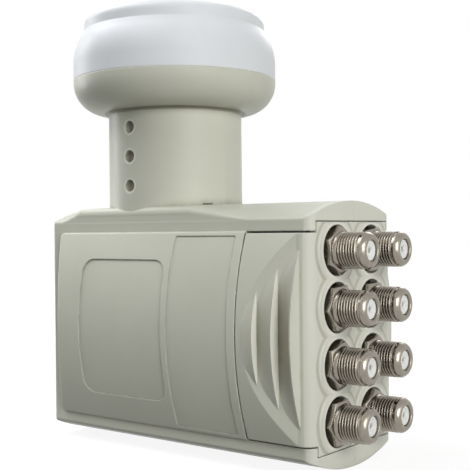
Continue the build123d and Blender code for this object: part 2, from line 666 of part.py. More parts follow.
def probe_heights():
    top = MID_Z + CHASSIS_TOP
    return top - VERTICAL_PROBE_DROP, top - HORIZONTAL_PROBE_DROP


def probe_bend_x():
    return GUIDE_OUTER + 4 * PROBE_SLEEVE_RADIUS


def wire(points, bend):
    path = FilletPolyline(*points, radius=bend)
    start = Plane(origin=path @ 0, z_dir=path % 0)
    return sweep(start * Circle(PROBE_RADIUS), path=path)


def horizontal_probe():
    _, z = probe_heights()
    bend = probe_bend_x()
    return wire([(bend, -BOARD_SEAT, z), (bend, 0, z), (PROBE_REACH, 0, z)], 3 * PROBE_RADIUS)


def vertical_probe():
    z, _ = probe_heights()
    bend, out = probe_bend_x(), GUIDE_OUTER + 2.5 * PROBE_RADIUS
    points = [(bend, -BOARD_OUTER, z), (bend, -out, z), (0, -out, z), (0, -PROBE_REACH, z)]
    return wire(points, 2 * PROBE_RADIUS)


def horizontal_probe_sleeve():
    _, z = probe_heights()
    sleeve = x_rod(PROBE_SLEEVE_RADIUS, GUIDE_RADIUS + CLOSE_GAP, GUIDE_OUTER, 0, z)
    return sleeve - x_rod(PROBE_RADIUS + CLOSE_GAP, 0, GUIDE_OUTER + OVERLAP, 0, z)


def vertical_probe_sleeve():
    z, _ = probe_heights()
    sleeve = y_rod(PROBE_SLEEVE_RADIUS, -GUIDE_OUTER, -GUIDE_RADIUS - CLOSE_GAP, 0, z)
    return sleeve - y_rod(PROBE_RADIUS + CLOSE_GAP, -GUIDE_OUTER - OVERLAP, 0, 0, z)


def board(side):
    """Circuit board on its ledge, notched for the waveguide and the screw posts."""
    plate = chamber(side, BOARD_OUTER, BOARD_SEAT, -FIT_GAP, -FIT_GAP)
    notch = GUIDE_OUTER + FIT_GAP
    low = MID_Z + CHASSIS_TOP - GUIDE_DEPTH - FIT_GAP
    plate -= block(-notch, notch, -CHASSIS_HALF, CHASSIS_HALF, low, SHOULDER_Z)
    for x, z in screw_places():
        plate -= y_rod(POST_RADIUS + FIT_GAP, -CHASSIS_HALF, CHASSIS_HALF, x, z)
    return plate


def lid(side):
    grow = LID_REBATE - FIT_GAP
    plate = chamber(side, LID_OUTER, LID_OUTER - LID_WALL, grow, grow)
    for x, z in screw_places():
        plate -= y_rod(SCREW_RADIUS + FIT_GAP, -CHASSIS_HALF, CHASSIS_HALF, x, z)
        y0, y1 = sorted((side * (LID_OUTER - SCREW_HEAD_HEIGHT), side * CHASSIS_HALF))
        plate -= y_rod(SCREW_HEAD_RADIUS + FIT_GAP, y0, y1, x, z)
    return plate


def lid_gasket(side):
    grow = LID_REBATE - FIT_GAP
    ring = chamber(side, LID_SEAT + GASKET_WALL, LID_SEAT, grow, grow)
    ring -= chamber(side, CHASSIS_HALF, 0, 0, 0)
    return ring


def lid_screws(side):
    screws = []
    for x, z in screw_places():
        y0, y1 = sorted((side * (LID_OUTER - SCREW_HEAD_HEIGHT), side * LID_OUTER))
        head = y_rod(SCREW_HEAD_RADIUS, y0, y1, x, z)
        y0, y1 = sorted((side * (LID_OUTER - SCREW_LENGTH), side * LID_OUTER))
        screws.append(head + y_rod(SCREW_RADIUS, y0, y1, x, z))
    return Compound(children=screws)


def f_connector(y, z, turn):
    """Hexagon with a chamfered front, barrel with a coned end, and a tail through the front wall."""
    hexagon = Rot(0, 0, turn) * RegularPolygon(HEX_FLATS / 2, 6, major_radius=False)
    nut = extrude(Pos(CHASSIS_FRONT, y, z) * (Plane.YZ * hexagon), amount=HEX_LENGTH, dir=(1, 0, 0))
    crown = make_face(
        Polyline(
            (0, CHASSIS_FRONT),
            (HEX_FLATS, CHASSIS_FRONT),
            (HEX_FLATS, HEX_FRONT - HEX_FLATS * HEX_CHAMFER_SLOPE / 2),
            (HEX_FLATS / 2, HEX_FRONT),
            (0, HEX_FRONT),
            (0, CHASSIS_FRONT),
        ).edges()
    )
    crown = Pos(0, y, z) * Rot(0, 90, 0) * revolve(Plane.XZ * crown, Axis.Z)
    barrel = x_rod(THREAD_RADIUS, CHASSIS_FRONT, CONNECTOR_END - END_CHAMFER_LENGTH, y, z)
    nose = Pos(CONNECTOR_END - END_CHAMFER_LENGTH / 2, y, z) * Rot(0, 90, 0)
    nose *= Cone(THREAD_RADIUS, THREAD_RADIUS - END_CHAMFER_DROP, END_CHAMFER_LENGTH)
    tail = x_rod(TAIL_RADIUS, CHAMBER_FRONT, CHASSIS_FRONT + OVERLAP, y, z)
    bore = x_rod(INSULATOR_RADIUS + CLOSE_GAP, CHAMBER_FRONT - OVERLAP, CONNECTOR_END + OVERLAP, y, z)
    return (nut & crown) + barrel + nose + tail - bore


def connector_insulator(y, z):
    end = CONNECTOR_END - INSULATOR_RECESS
    plug = x_rod(INSULATOR_RADIUS, CHAMBER_FRONT, end, y, z)
    return plug - x_rod(CONTACT_RADIUS + CLOSE_GAP, CHAMBER_FRONT - OVERLAP, end + OVERLAP, y, z)


def connector_contact(y, z):
    end = CONNECTOR_END - INSULATOR_RECESS - CONTACT_RECESS
    return x_rod(CONTACT_RADIUS, CHAMBER_FRONT - CONTACT_TAIL, end, y, z)


def connector_seal(y, z):
    back = CHASSIS_FRONT - SEAL_THICKNESS
    ring = x_rod(SEAL_RADIUS, back, CHASSIS_FRONT, y, z)
    return ring - x_rod(TAIL_RADIUS + CLOSE_GAP, back - OVERLAP, CHASSIS_FRONT + OVERLAP, y, z)


def build():
    shell = housing()
    nodes = {
        "right_shell": half_shell(shell, -1),
        "left_shell": half_shell(shell, 1),
        "weather_cover": weather_cover(),
        "feed_cap": feed_cap(),
        "cap_seal": cap_seal(),
        "chassis": chassis(),
        "rf_board": board(-1),
        "switch_board": board(1),
        "horizontal_probe": horizontal_probe(),
        "vertical_probe": vertical_probe(),
        "horizontal_probe_sleeve": horizontal_probe_sleeve(),
        "vertical_probe_sleeve": vertical_probe_sleeve(),
    }
    for name, side in (("right", -1), ("left", 1)):
        nodes[f"{name}_lid"] = lid(side)
        nodes[f"{name}_lid_gasket"] = lid_gasket(side)
        nodes[f"{name}_lid_screws"] = lid_screws(side)
    for number, ((y, z), turn) in enumerate(zip(OUTPUTS, HEX_TURNS), start=1):
        nodes[f"f_connector_{number}"] = f_connector(y, z, turn)
        nodes[f"connector_insulator_{number}"] = connector_insulator(y, z)
        nodes[f"connector_contact_{number}"] = connector_contact(y, z)
        nodes[f"connector_seal_{number}"] = connector_seal(y, z)
    return nodes


os.makedirs("parts", exist_ok=True)
for node, shape in build().items():
    export_step(shape, f"parts/{node}.step")
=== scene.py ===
import json
from math import cos, pi, radians, sin

import bpy
from mathutils import Matrix, Vector


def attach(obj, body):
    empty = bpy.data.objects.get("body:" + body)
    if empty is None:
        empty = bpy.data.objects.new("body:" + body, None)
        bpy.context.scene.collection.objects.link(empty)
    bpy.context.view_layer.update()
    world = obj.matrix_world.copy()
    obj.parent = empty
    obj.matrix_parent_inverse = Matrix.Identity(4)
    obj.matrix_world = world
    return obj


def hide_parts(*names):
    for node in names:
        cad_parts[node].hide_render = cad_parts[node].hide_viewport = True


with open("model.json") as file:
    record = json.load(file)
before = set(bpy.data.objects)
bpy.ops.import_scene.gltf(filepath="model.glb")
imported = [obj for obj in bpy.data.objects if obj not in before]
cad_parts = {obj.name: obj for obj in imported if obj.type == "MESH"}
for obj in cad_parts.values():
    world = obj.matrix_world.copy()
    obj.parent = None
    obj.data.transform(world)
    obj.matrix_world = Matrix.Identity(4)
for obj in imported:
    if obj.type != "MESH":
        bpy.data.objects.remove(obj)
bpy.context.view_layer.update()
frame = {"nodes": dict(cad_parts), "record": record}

# Satellite feed with eight outputs: finishes, threaded outputs, light and camera.
# +Z runs up the neck to the feed cap, +X points out of the outputs. Sizes in millimetres.

MM = 0.001

# Outputs: the heights and sides of their axes, and each hexagon's turn in degrees
OUTPUT_ROWS = (-26.805, -41.435, -56.065, -70.695)
OUTPUT_COLUMNS = (-8.58, 8.58)
HEX_TURNS = (34, 8, 5, 2, 20, 12, 4, 33)
HEX_FLATS = 11.0
HEX_BACK = 57.8
HEX_FRONT = 64.0
HEX_CHAMFER_SLOPE = 0.55
HEX_FACE_INSET = 0.15
BARREL_END = 72.7
BORE_RADIUS = 2.65
ROOT_RADIUS = 4.22
CREST_RADIUS = 4.7
THREAD_PITCH = 0.794
THREAD_START = 65.25
THREAD_TURNS = 7
THREAD_STEPS = 48
THREAD_SINK = 0.2
TURNING_STEPS = 64
SMOOTH_ANGLE = 30
INSULATOR_RADIUS = 2.6
INSULATOR_BACK = 58.0
INSULATOR_FACE = 72.1
PIN_HOLE_RADIUS = 0.6

# Outlines between the named ends of the barrel, as (x, radius) points
COLLAR_ROUND = ((64.15, 4.86), (64.6, 4.72), (64.85, 4.55))
COLLAR_RADIUS = 4.9
THREAD_ROOM = (65.0, 71.15)
RIM_ROUND = (
    (71.2, 4.5), (71.3, 4.62), (71.55, 4.64), (72.0, 4.42), (72.4, 4.12), (72.62, 3.85),
)
RIM_FLAT = (3.5, 3.0)
MOUTH_ROUND = ((72.62, 2.8), (72.45, 2.68))
MOUTH_DEPTH = 72.2

# Camera of the photograph
CAMERA_PLACE = (189.61, -213.05, -21.71)
CAMERA_YAW = 38.104
CAMERA_PITCH = -0.219
CAMERA_ROLL = 0.564
CAMERA_LENS = 71.8
CAMERA_SENSOR = 36.0
CAMERA_NEAR = 0.01

# Floor and surroundings
FLOOR_Z = -83.7
FLOOR_SPAN = 6.0
FLOOR_TONE = (0.16, 0.16, 0.155, 1.0)
SHADOW_REACH = 250.0
SHADOW_WHITE = 0.9
WORLD_FILL = 0.02

# Lamps: name, azimuth, elevation, width, height, power and colour.
# Azimuth 0 stands on the -Y side and 90 on the +X side. Distance and panels are in metres.
LAMP_TARGET = (10, 0, -30)
LAMP_DISTANCE = 0.8
WHITE = (1.0, 1.0, 1.0)
COOL = (0.96, 0.97, 1.0)
LAMPS = (
    ("key_panel", 67, 14, 0.5, 0.5, 4.5, WHITE),
    ("edge_panel", 105, 2, 0.4, 0.4, 0.9, WHITE),
    ("side_panel", -28, 60, 0.5, 0.5, 3.0, COOL),
    ("upper_panel", -80, 52, 0.4, 0.4, 3.0, COOL),
    ("left_panel", -82, 6, 0.3, 0.8, 3.4, WHITE),
    ("back_panel", 195, 34, 0.35, 0.35, 1.2, WHITE),
)

# Grain, wear and dust, with a painted edge highlight on the wear and painted shade with the dust.
# Scales are per metre, radii and reaches in metres.
GRAIN_SCALE = 2400.0
GRAIN_NOISE = 0.7
GRAIN_PITS = 0.5
TONE_SCALE = 30.0
NOISE_MIDDLE = (0.3, 0.7)
EDGE_RADIUS = 0.0003
WORN_AND_LIT_TURN = (0.995, 0.86)
WORN_AND_LIT_SCALE = 900.0
WORN_AND_LIT_BREAK = (0.35, 0.65)
DUST_REACH = 0.004
DUST_AND_SHADE_AMOUNT = 0.6
DUST_AND_SHADE_CORNER = (0.8, 0.35)
DUST_SCALE = 260.0
DUST_THINNEST = 0.45
SCUFF_SCALE = 6000.0
SCUFF_STRETCH = (1.0, 0.04, 0.04)
SPOT_SCALE = 700.0
SPOT_RANGE = (0.48, 0.68)

# Plastic
PLASTIC_EDGE = 0.00045
PLASTIC_SPECULAR = 0.18
WORN_AND_LIT_SHARE = 0.75
GLOSS_SPREAD = 0.05
DUST_DULLS = 0.25
GRAIN_DEPTH = 0.02

# Metal
METAL_EDGE = 0.00012
STAIN_REACH = 0.0012
STAIN_AMOUNT = 0.8
SPOT_SHARE = 0.5
SPOT_DULLS = 0.12
LINE_DULLS = 0.06
LINE_DEPTH = 0.004
LINE_RELIEF = 0.25

# Finger ridges of the cover: their run along x, middle height and half height
RIDGE_BACK = 40.0
RIDGE_FRONT = 59.3
RIDGE_MIDDLE = -48.75
RIDGE_HALF = 25.0
RIDGE_FADE = 1.0
RIDGE_END_FADE = 2.0
# Turn of the ridges' ramps, which take painted shade, and faces, which take painted light
RAMP_TURN = (-0.1, -0.5)
FACE_TURN = (0.3, 0.7)

# Front plate with its holes and bosses, the neck's dimples and its joint with the bowl, which take
# painted light and shade
FRONT_ZONE = 60.0
PLATE_TOP = -19.6
PLATE_FOOT = -77.9
HOLE_RADIUS = 6.6
LIP_WIDTH = 1.2
BOSS_FOOT = 9.0
DIMPLE_LIFT = 0.1
DIMPLE_PITCH = 8.43
DIMPLE_RADIUS = 1.75
DIMPLE_MOUTH = 2.25
DIMPLE_SPAN = 11.5
NECK_TOP = 13.9
NECK_RADIUS = 20.0

# How far each mask tints the grey plastic: painted shade on ramps, boss feet and the neck's joint,
# painted light on ridge faces, the front plate, hole lips and dimple rims
RAMP_SHARE = 0.85
FACE_SHARE = 0.85
FRONT_SHARE = 0.35
LIP_SHARE = 0.7
FOOT_SHARE = 0.38
RIM_SHARE = 0.8
JOINT_SHARE = 0.75


def srgb(red, green, blue):
    """Linear colour of an 8-bit screen colour."""
    channels = []
    for value in (red, green, blue):
        share = value / 255
        channels.append(share / 12.92 if share <= 0.04045 else ((share + 0.055) / 1.055) ** 2.4)
    return (*channels, 1.0)


def make_active(piece):
    """Leaves only this piece selected."""
    bpy.ops.object.select_all(action="DESELECT")
    piece.select_set(True)
    bpy.context.view_layer.objects.active = piece


def apply_modifier(piece, kind, **values):
    make_active(piece)
    modifier = piece.modifiers.new(kind.lower(), kind)
    for name, value in values.items():
        setattr(modifier, name, value)
    bpy.ops.object.modifier_apply(modifier=modifier.name)


def settle(piece, name):
    """Names a piece and puts its place into its mesh."""
    make_active(piece)
    bpy.ops.object.transform_apply(location=True, rotation=True, scale=True)
    piece.name = name
    piece.data.name = name
    return piece


def join(pieces, name):
    make_active(pieces[0])
    for piece in pieces[1:]:
        piece.select_set(True)
    bpy.ops.object.join()
    return settle(bpy.context.view_layer.objects.active, name)


def smooth(piece, angle):
    make_active(piece)
    bpy.ops.object.shade_smooth_by_angle(angle=radians(angle))


def dress(piece, material, body, slot, *nodes):
    """Gives a piece its finish and its body, and hides the nodes that it stands for."""
    piece.data.materials.clear()
    piece.data.materials.append(material)
    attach(piece, body)
    if nodes:
        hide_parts(*nodes)


# Modelling


def ring_outline(points):
    """A closed line through (x, radius) points, drawn by extruding one vertex onwards."""
    bpy.ops.object.select_all(action="DESELECT")
    x, radius = points[0]
    bpy.ops.mesh.primitive_plane_add(size=MM, location=(x * MM, 0, radius * MM))
    piece = bpy.context.view_layer.objects.active
    bpy.ops.object.transform_apply(location=True)
    bpy.ops.object.mode_set(mode="EDIT")
    bpy.ops.mesh.select_all(action="SELECT")
    bpy.ops.mesh.merge(type="CENTER")
    for next_x, next_radius in points[1:]:
        step = ((next_x - x) * MM, 0, (next_radius - radius) * MM)
        bpy.ops.mesh.extrude_vertices_move(TRANSFORM_OT_translate={"value": step})
        x, radius = next_x, next_radius
    bpy.ops.mesh.select_all(action="SELECT")
    bpy.ops.mesh.edge_face_add()
    bpy.ops.mesh.delete(type="ONLY_FACE")
    bpy.ops.object.mode_set(mode="OBJECT")
    return piece


def close_mesh(piece):
    """Merges doubles, fills open ends and turns the faces outwards."""
    make_active(piece)
    bpy.ops.object.mode_set(mode="EDIT")
    bpy.ops.mesh.select_all(action="SELECT")
    bpy.ops.mesh.remove_doubles(threshold=MM / 1000)
    bpy.ops.mesh.fill_holes(sides=0)
    bpy.ops.mesh.select_all(action="SELECT")
    bpy.ops.mesh.normals_make_consistent(inside=False)
    bpy.ops.object.mode_set(mode="OBJECT")


def turned(points):
    """An outline spun round the X axis, as on a lathe."""
    piece = ring_outline(points)
    bpy.ops.object.mode_set(mode="EDIT")
    bpy.ops.mesh.select_all(action="SELECT")
    bpy.ops.mesh.spin(steps=TURNING_STEPS, angle=2 * pi, center=(0, 0, 0), axis=(1, 0, 0))
    bpy.ops.object.mode_set(mode="OBJECT")
    close_mesh(piece)
    return piece


def thread_ridge():
    """The thread's ridge, wound round the barrel by the screw modifier."""
    half = THREAD_PITCH / 2
    flat = THREAD_PITCH / 10
    core = ROOT_RADIUS - THREAD_SINK
    x = THREAD_START
    points = [
        (x - half, core),
        (x - half, ROOT_RADIUS),
        (x - flat, CREST_RADIUS),
        (x + flat, CREST_RADIUS),
        (x + half, ROOT_RADIUS),
        (x + half, core),
    ]
    ridge = ring_outline(points)
    apply_modifier(
        ridge, "SCREW", axis="X", angle=2 * pi, screw_offset=THREAD_PITCH * MM,
        iterations=THREAD_TURNS, steps=THREAD_STEPS, render_steps=THREAD_STEPS,
        use_merge_vertices=False, use_normal_calculate=True,
    )
    close_mesh(ridge)
    return ridge


def hexagon():
    """Hexagon with its front corners turned off by a cone."""
    bpy.ops.object.select_all(action="DESELECT")
    corner = HEX_FLATS / 2 / cos(pi / 6) * MM
    middle = (HEX_BACK + HEX_FRONT) / 2 * MM
    bpy.ops.mesh.primitive_cylinder_add(
        vertices=6, radius=corner, depth=(HEX_FRONT - HEX_BACK) * MM,
        location=(middle, 0, 0), rotation=(0, pi / 2, 0),
    )
    nut = bpy.context.view_layer.objects.active
    base = HEX_FRONT - HEX_FLATS * HEX_CHAMFER_SLOPE
    cone = turned([
        (HEX_BACK - 1, 0.5), (HEX_BACK - 1, 1.5 * HEX_FLATS), (base, 1.5 * HEX_FLATS),
        (HEX_FRONT + 0.001, HEX_FLATS / 2 - HEX_FACE_INSET), (HEX_FRONT + 0.001, 0.5),
    ])
    apply_modifier(nut, "BOOLEAN", operation="INTERSECT", solver="EXACT", object=cone)
    bpy.data.objects.remove(cone)
    return nut


def barrel_core():
    """Collar, thread root and rounded end rim of an output, bored through."""
    return turned([
        (HEX_BACK + 0.2, BORE_RADIUS),
        (HEX_BACK + 0.2, ROOT_RADIUS),
        (HEX_FRONT - 0.2, ROOT_RADIUS),
        (HEX_FRONT - 0.2, COLLAR_RADIUS),
        *COLLAR_ROUND,
        *((x, ROOT_RADIUS) for x in THREAD_ROOM),
        *RIM_ROUND,
        *((BARREL_END, radius) for radius in RIM_FLAT),
        *MOUTH_ROUND,
        (MOUTH_DEPTH, BORE_RADIUS),
    ])


def output_body():
    """One output: hexagon, collar, threaded barrel and rim."""
    return join([barrel_core(), thread_ridge(), hexagon()], "output_blank")


def output_insulator():
    """White insulator with a dished face and a countersunk pin hole."""
    face = INSULATOR_FACE
    return turned([
        (INSULATOR_BACK, PIN_HOLE_RADIUS),
        (INSULATOR_BACK, INSULATOR_RADIUS),
        (face - 0.2, INSULATOR_RADIUS),
        (face - 0.05, INSULATOR_RADIUS - 0.06),
        (face, INSULATOR_RADIUS - 0.22),
        (face, INSULATOR_RADIUS - 0.6),
        (face - 0.12, INSULATOR_RADIUS - 0.8),
        (face - 0.12, PIN_HOLE_RADIUS + 0.35),
        (face - 0.2, PIN_HOLE_RADIUS + 0.28),
        (face - 0.5, PIN_HOLE_RADIUS),
    ])


def copied(piece, name, turn, y, z):
    """A copy with its own mesh, turned about X and moved to an output's place."""
    make_active(piece)
    bpy.ops.object.duplicate()
    twin = bpy.context.view_layer.objects.active
    twin.rotation_euler = (radians(turn), 0, 0)
    twin.location = (0, y * MM, z * MM)
    return settle(twin, name)


# Shader node groups


def new_group(name, inputs, outputs):
    """An empty shader node group with named sockets."""
    group = bpy.data.node_groups.new(name, "ShaderNodeTree")
    for socket, default in inputs.items():
        made = group.interface.new_socket(socket, in_out="INPUT", socket_type="NodeSocketFloat")
        made.default_value = default
    for socket, kind in outputs.items():
        group.interface.new_socket(socket, in_out="OUTPUT", socket_type=kind)
    return group, group.nodes.new("NodeGroupInput"), group.nodes.new("NodeGroupOutput")


def add_node(tree, kind, inputs=None, **properties):
    """A shader node with its properties. Its inputs are values or other nodes' outputs."""
    made = tree.nodes.new(kind)
    for name, value in properties.items():
        setattr(made, name, value)
    for socket, value in (inputs or {}).items():
        if isinstance(value, bpy.types.NodeSocket):
            tree.links.new(value, made.inputs[socket])
        else:
            made.inputs[socket].default_value = value
    return made


def combine(tree, operation, first, second):
    return add_node(tree, "ShaderNodeMath", {0: first, 1: second}, operation=operation).outputs[0]


def ranged(tree, value, low, high, to_low=0.0, to_high=1.0):
    """A value mapped from low..high to a new range, clamped."""
    inputs = {
        "Value": value, "From Min": low, "From Max": high, "To Min": to_low, "To Max": to_high,
    }
    return add_node(tree, "ShaderNodeMapRange", inputs).outputs["Result"]


def tinted(tree, factor, first, second):
    """A colour mixed from the first to the second by a factor."""
    made = add_node(tree, "ShaderNodeMix", {0: factor, 6: first, 7: second}, data_type="RGBA")
    return made.outputs[2]


def object_place(tree, stretch=(1, 1, 1)):
    """Object coordinates, stretched by a Mapping node."""
    place = add_node(tree, "ShaderNodeTexCoord").outputs["Object"]
    return add_node(tree, "ShaderNodeMapping", {"Vector": place, "Scale": stretch}).outputs["Vector"]


def noise(tree, place, scale, detail, roughness=0.55):
    inputs = {"Vector": place, "Scale": scale, "Detail": detail, "Roughness": roughness}
    return add_node(tree, "ShaderNodeTexNoise", inputs).outputs["Fac"]


def grain_group():
    """Fine moulded grain as a height, and broad uneven tone."""
    group, entry, leave = new_group(
        "moulded_grain", {"Grain per metre": GRAIN_SCALE, "Patches per metre": TONE_SCALE},
        {"Height": "NodeSocketFloat", "Tone": "NodeSocketFloat"},
    )
    place = object_place(group)
    fine = noise(group, place, entry.outputs["Grain per metre"], detail=3.0)
    pits = add_node(
        group, "ShaderNodeTexVoronoi",
        {"Vector": place, "Scale": entry.outputs["Grain per metre"]}, feature="SMOOTH_F1",
    ).outputs["Distance"]
    fine = combine(group, "MULTIPLY", fine, GRAIN_NOISE)
    pits = combine(group, "MULTIPLY", pits, GRAIN_PITS)
    group.links.new(combine(group, "ADD", fine, pits), leave.inputs["Height"])
    broad = noise(group, place, entry.outputs["Patches per metre"], detail=4.0, roughness=0.6)
    group.links.new(ranged(group, broad, *NOISE_MIDDLE), leave.inputs["Tone"])
    return group


def edge_group():
    """Softened edges as a normal, and a mask of the edges that hands and tools rub, which also carries
    a painted edge highlight.
    """
    group, entry, leave = new_group(
        "soft_edges", {"Radius": EDGE_RADIUS},
        {"Normal": "NodeSocketVector", "Worn and lit": "NodeSocketFloat"},
    )
    bevel = add_node(group, "ShaderNodeBevel", {"Radius": entry.outputs["Radius"]}, samples=8)
    soft = bevel.outputs["Normal"]
    group.links.new(soft, leave.inputs["Normal"])
    flat = add_node(group, "ShaderNodeNewGeometry").outputs["Normal"]
    turn = add_node(group, "ShaderNodeVectorMath", {0: soft, 1: flat}, operation="DOT_PRODUCT")
    worn_and_lit = ranged(group, turn.outputs["Value"], *WORN_AND_LIT_TURN)
    flecks = noise(group, object_place(group), WORN_AND_LIT_SCALE, detail=4.0)
    broken = ranged(group, flecks, *WORN_AND_LIT_BREAK)
    group.links.new(combine(group, "MULTIPLY", worn_and_lit, broken), leave.inputs["Worn and lit"])
    return group


def dust_and_shade_group():
    """Dust that settles in corners and gaps, with painted shade there, broken up by noise."""
    group, entry, leave = new_group(
        "settled_dust_and_shade", {"Reach": DUST_REACH, "Amount": DUST_AND_SHADE_AMOUNT}, {"Mask": "NodeSocketFloat"}
    )
    hidden = add_node(
        group, "ShaderNodeAmbientOcclusion", {"Distance": entry.outputs["Reach"]}, samples=8
    ).outputs["AO"]
    corner = ranged(group, hidden, *DUST_AND_SHADE_CORNER)
    patches = noise(group, object_place(group), DUST_SCALE, detail=5.0, roughness=0.65)
    patchy = ranged(group, patches, *NOISE_MIDDLE, to_low=DUST_THINNEST)
    mask = combine(group, "MULTIPLY", corner, patchy)
    mask = combine(group, "MULTIPLY", mask, entry.outputs["Amount"])
    group.links.new(mask, leave.inputs["Mask"])
    return group


def scuff_group():
    """Fine scratches along one way and small dull spots, for metal."""
    group, entry, leave = new_group(
        "fine_scuffs", {"Lines per metre": SCUFF_SCALE},
        {"Lines": "NodeSocketFloat", "Spots": "NodeSocketFloat"},
    )
    drawn = object_place(group, SCUFF_STRETCH)
    lines = noise(group, drawn, entry.outputs["Lines per metre"], detail=2.0)
    group.links.new(ranged(group, lines, *NOISE_MIDDLE), leave.inputs["Lines"])
    spots = noise(group, object_place(group), SPOT_SCALE, detail=5.0, roughness=0.7)
    group.links.new(ranged(group, spots, *SPOT_RANGE), leave.inputs["Spots"])
    return group


def ridge_group():
    """Masks of the finger ridges: ramps turned away from the front, for painted shade, and faces turned
    to the front, for painted light.
    """
    group, _, leave = new_group(
        "finger_ridges", {}, {"Ramp": "NodeSocketFloat", "Face": "NodeSocketFloat"}
    )
    place = add_node(group, "ShaderNodeSeparateXYZ", {"Vector": object_place(group)}).outputs
    behind = ranged(group, place["X"], RIDGE_BACK * MM, (RIDGE_BACK + RIDGE_FADE) * MM)
    ahead = ranged(group, place["X"], RIDGE_FRONT * MM, (RIDGE_FRONT - RIDGE_FADE) * MM)
    lift = combine(group, "SUBTRACT", place["Z"], RIDGE_MIDDLE * MM)
    lift = add_node(group, "ShaderNodeMath", {0: lift}, operation="ABSOLUTE").outputs[0]
    level = ranged(group, lift, RIDGE_HALF * MM, (RIDGE_HALF - RIDGE_END_FADE) * MM)
    zone = combine(group, "MULTIPLY", combine(group, "MULTIPLY", behind, ahead), level)
    facing = add_node(group, "ShaderNodeTexCoord").outputs["Normal"]
    turn = add_node(group, "ShaderNodeSeparateXYZ", {"Vector": facing}).outputs["X"]
    for mask, turns in (("Ramp", RAMP_TURN), ("Face", FACE_TURN)):
        facet = combine(group, "MULTIPLY", zone, ranged(group, turn, *turns))
        group.links.new(facet, leave.inputs[mask])
    return group


def repeated(tree, value, start, pitch):
    """Distance from a value to the nearest of a row of even steps."""
    moved = combine(tree, "SUBTRACT", value, start * MM)
    return combine(tree, "PINGPONG", moved, pitch / 2 * MM)


def span(tree, first, second):
    """Length of a line from the origin to a point in a plane."""
    flat = add_node(tree, "ShaderNodeCombineXYZ", {"X": first, "Y": second}).outputs["Vector"]
    return add_node(tree, "ShaderNodeVectorMath", {0: flat}, operation="LENGTH").outputs["Value"]


def band(tree, value, low, high, fade):
    """1 between two values in millimetres, with soft ends."""
    above = ranged(tree, value, (low - fade) * MM, low * MM)
    below = ranged(tree, value, (high + fade) * MM, high * MM)
    return combine(tree, "MULTIPLY", above, below)


def rim_group():
    """Masks of the front plate, its holes' lips and bosses' feet, the dimples and the neck's joint:
    painted light on plate, lips and dimple rims, painted shade at feet and joint.
    """
    masks = ("Front", "Lip", "Foot", "Rim", "Joint")
    group, _, leave = new_group("rims_and_joints", {}, dict.fromkeys(masks, "NodeSocketFloat"))
    place = add_node(group, "ShaderNodeSeparateXYZ", {"Vector": object_place(group)}).outputs
    front = ranged(group, place["X"], (FRONT_ZONE - 0.2) * MM, FRONT_ZONE * MM)
    aside = add_node(group, "ShaderNodeMath", {0: place["Y"]}, operation="ABSOLUTE").outputs[0]
    aside = combine(group, "SUBTRACT", aside, OUTPUT_COLUMNS[1] * MM)
    rise = repeated(group, place["Z"], OUTPUT_ROWS[0], OUTPUT_ROWS[0] - OUTPUT_ROWS[1])
    over = combine(group, "SUBTRACT", place["Z"], OUTPUT_ROWS[0] * MM)
    under = combine(group, "SUBTRACT", OUTPUT_ROWS[-1] * MM, place["Z"])
    rise = combine(group, "MAXIMUM", combine(group, "MAXIMUM", rise, over), under)
    away = span(group, aside, rise)
    inside = band(group, place["Z"], PLATE_FOOT, PLATE_TOP, fade=0.05)
    plate = combine(group, "MULTIPLY", front, inside)
    lip = band(group, away, 0, HOLE_RADIUS + LIP_WIDTH / 2, LIP_WIDTH / 2)
    foot = band(group, away, BOSS_FOOT - 0.1, BOSS_FOOT + 0.5, fade=0.3)
    rise = repeated(group, place["Z"], DIMPLE_LIFT, DIMPLE_PITCH)
    away = span(group, place["X"], rise)
    rim = band(group, away, DIMPLE_RADIUS + 0.06, DIMPLE_MOUTH, fade=0.05)
    near = band(group, place["Z"], -DIMPLE_SPAN, DIMPLE_SPAN, fade=0.2)
    side = band(group, place["Y"], -NECK_RADIUS - 1, -1, fade=0.5)
    near = combine(group, "MULTIPLY", near, side)
    top = band(group, place["Z"], NECK_TOP - 0.5, NECK_TOP + 0.2, fade=0.5)
    away = span(group, place["X"], place["Y"])
    round_neck = band(group, away, 0, NECK_RADIUS + 0.8, fade=0.6)
    group.links.new(front, leave.inputs["Front"])
    pairs = {"Lip": (plate, lip), "Foot": (plate, foot), "Rim": (rim, near), "Joint": (top, round_neck)}
    for mask, (first, second) in pairs.items():
        group.links.new(combine(group, "MULTIPLY", first, second), leave.inputs[mask])
    return group


GRAIN = grain_group()
EDGES = edge_group()
DUST_AND_SHADE = dust_and_shade_group()
SCUFFS = scuff_group()
RIDGES = ridge_group()
RIMS = rim_group()


def place_group(tree, group, **values):
    """Outputs of a group placed in a material with its own values."""
    made = tree.nodes.new("ShaderNodeGroup")
    made.node_tree = group
    for name, value in values.items():
        made.inputs[name.replace("_", " ")].default_value = value
    return made.outputs


def new_material(name):
    """A material with only a Principled shader and its output."""
    material = bpy.data.materials.new(name)
    material.use_nodes = True
    tree = material.node_tree
    tree.nodes.clear()
    shader = tree.nodes.new("ShaderNodeBsdfPrincipled")
    output = tree.nodes.new("ShaderNodeOutputMaterial")
    tree.links.new(shader.outputs["BSDF"], output.inputs["Surface"])
    return material, tree, shader


def bump(tree, shader, height, depth, strength, normal=None):
    """Relief of a depth in millimetres on the shader's normal."""
    inputs = {"Height": height, "Distance": depth * MM, "Strength": strength}
    if normal is not None:
        inputs["Normal"] = normal
    made = add_node(tree, "ShaderNodeBump", inputs)
    tree.links.new(made.outputs["Normal"], shader.inputs["Normal"])


